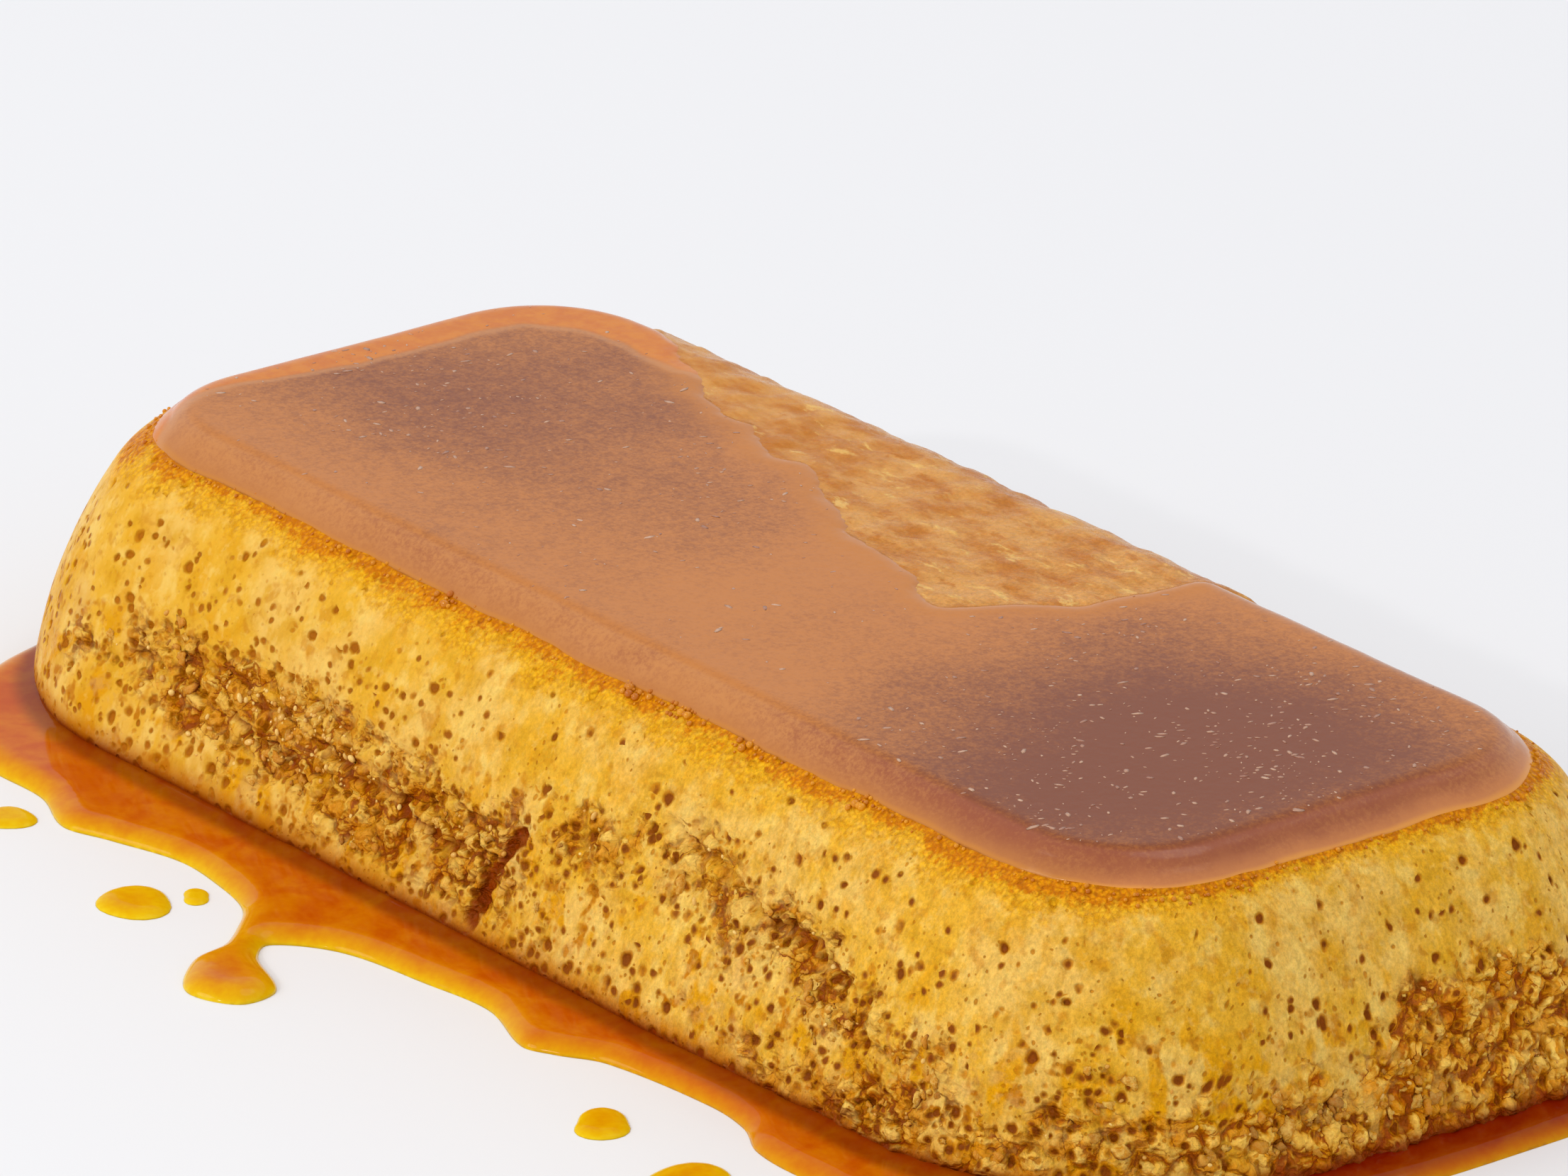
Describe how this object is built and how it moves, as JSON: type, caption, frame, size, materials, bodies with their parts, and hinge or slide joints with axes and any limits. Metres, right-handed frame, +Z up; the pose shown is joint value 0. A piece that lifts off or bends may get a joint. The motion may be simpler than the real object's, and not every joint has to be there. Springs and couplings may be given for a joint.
{
  "type": "caramel pudding",
  "caption": "Loaf-shaped baked custard dessert under a thin caramel film, standing in a shallow pool of caramel sauce with a few loose drops.",
  "frame": {"origin": "centre of the custard's flat base, on the surface that it stands on", "axes": "+X along the loaf, +Z up from the surface, -Y towards the long side with the open crack"},
  "size_m": [0.1816, 0.1137, 0.0286],
  "materials": {
    "custard": "moist baked custard with brown pores, semi-matte",
    "caramel": "glossy set caramel",
    "sauce": "wet, glossy thin caramel sauce"
  },
  "bodies": {
    "root": {"custard": "custard", "caramel_film": "caramel", "sauce_pool": "sauce", "sauce_drop_1": "sauce", "sauce_drop_2": "sauce", "sauce_drop_3": "sauce", "sauce_drop_4": "sauce", "sauce_drop_5": "sauce"}
  },
  "joints": []
}
